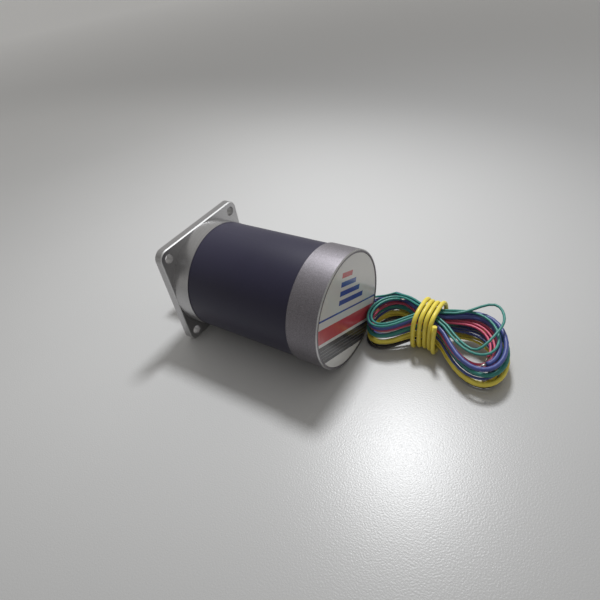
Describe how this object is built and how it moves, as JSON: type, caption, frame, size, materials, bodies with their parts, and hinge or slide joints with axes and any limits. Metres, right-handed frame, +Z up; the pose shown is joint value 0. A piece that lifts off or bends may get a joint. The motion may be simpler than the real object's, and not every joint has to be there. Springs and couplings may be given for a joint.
{
  "type": "brushless dc motor",
  "caption": "Round-bodied brushless DC motor with a square mounting flange, a flatted shaft and a tied hank of phase and sensor leads.",
  "frame": {"origin": "centre of the mounting face, on the shaft's axis", "axes": "+X along the shaft, out of the mounting face; +Z up, with the motor lying on one flat edge of its flange"},
  "size_m": [0.1776, 0.0685, 0.0574],
  "materials": {
    "cover_metal": "fine turned, satin",
    "tube_coating": "satin black with a faint blue tint",
    "label_film": "glossy printed film",
    "screw_steel": "zinc plated",
    "lamination_steel": "bare electrical steel",
    "insulator_plastic": "moulded nylon",
    "wedge_paper": "fish paper",
    "coil_copper": "enamelled copper wire",
    "board_laminate": "green solder mask",
    "sensor_plastic": "moulded epoxy",
    "chip_ceramic": "small chip parts",
    "spring_steel": "spring steel",
    "grommet_rubber": "matt black",
    "bearing_steel": "ground and polished",
    "shield_steel": "pressed",
    "cage_brass": "machined",
    "shaft_steel": "ground",
    "magnet_nickel": "nickel plated",
    "sleeve_steel": "thin stainless tube",
    "end_ring_brass": "turned",
    "lead_black": "glossy PVC",
    "lead_yellow": "glossy PVC",
    "lead_blue": "glossy PVC",
    "lead_green": "glossy PVC",
    "lead_red": "glossy PVC"
  },
  "bodies": {
    "motor_body": {"front_cover": "cover_metal", "housing_tube": "tube_coating", "rear_cover": "cover_metal", "rear_label": "label_film", "tie_screws": "screw_steel", "stator_core": "lamination_steel", "front_insulator": "insulator_plastic", "rear_insulator": "insulator_plastic", "slot_wedges": "wedge_paper", "winding_u": "coil_copper", "winding_v": "coil_copper", "winding_w": "coil_copper", "hall_board": "board_laminate", "hall_sensors": "sensor_plastic", "board_chips": "chip_ceramic", "board_screws": "screw_steel", "wave_spring": "spring_steel", "lead_grommet": "grommet_rubber", "front_outer_race": "bearing_steel", "front_shields": "shield_steel", "rear_outer_race": "bearing_steel", "rear_shields": "shield_steel", "hank_tie": "lead_yellow", "sensor_black_lead": "lead_black", "sensor_black_hank": "lead_black", "sensor_yellow_lead": "lead_yellow", "sensor_yellow_hank": "lead_yellow", "phase_yellow_lead": "lead_yellow", "phase_yellow_hank": "lead_yellow", "sensor_blue_lead": "lead_blue", "sensor_blue_hank": "lead_blue", "phase_green_lead": "lead_green", "phase_green_hank": "lead_green", "sensor_red_lead": "lead_red", "sensor_red_hank": "lead_red", "phase_blue_lead": "lead_blue", "phase_blue_hank": "lead_blue", "sensor_green_lead": "lead_green", "sensor_green_hank": "lead_green"},
    "rotor": {"shaft": "shaft_steel", "rotor_core": "lamination_steel", "rotor_magnets": "magnet_nickel", "rotor_sleeve": "sleeve_steel", "rotor_end_rings": "end_ring_brass", "front_inner_race": "bearing_steel", "rear_inner_race": "bearing_steel"},
    "front_ball_set": {"front_balls": "bearing_steel", "front_cage": "cage_brass"},
    "rear_ball_set": {"rear_balls": "bearing_steel", "rear_cage": "cage_brass"}
  },
  "joints": [
    {"name": "shaft_spin", "type": "hinge", "parent": "motor_body", "child": "rotor", "pos_m": [0, 0, 0], "axis": [1, 0, 0], "continuous": true},
    {"name": "front_cage_spin", "type": "hinge", "parent": "motor_body", "child": "front_ball_set", "pos_m": [-0.0065, 0, 0], "axis": [1, 0, 0], "continuous": true},
    {"name": "rear_cage_spin", "type": "hinge", "parent": "motor_body", "child": "rear_ball_set", "pos_m": [-0.0785, 0, 0], "axis": [1, 0, 0], "continuous": true}
  ],
  "couplings": [
    {"joint": "front_cage_spin", "follows": "shaft_spin", "ratio": 0.3681},
    {"joint": "rear_cage_spin", "follows": "shaft_spin", "ratio": 0.3681}
  ]
}
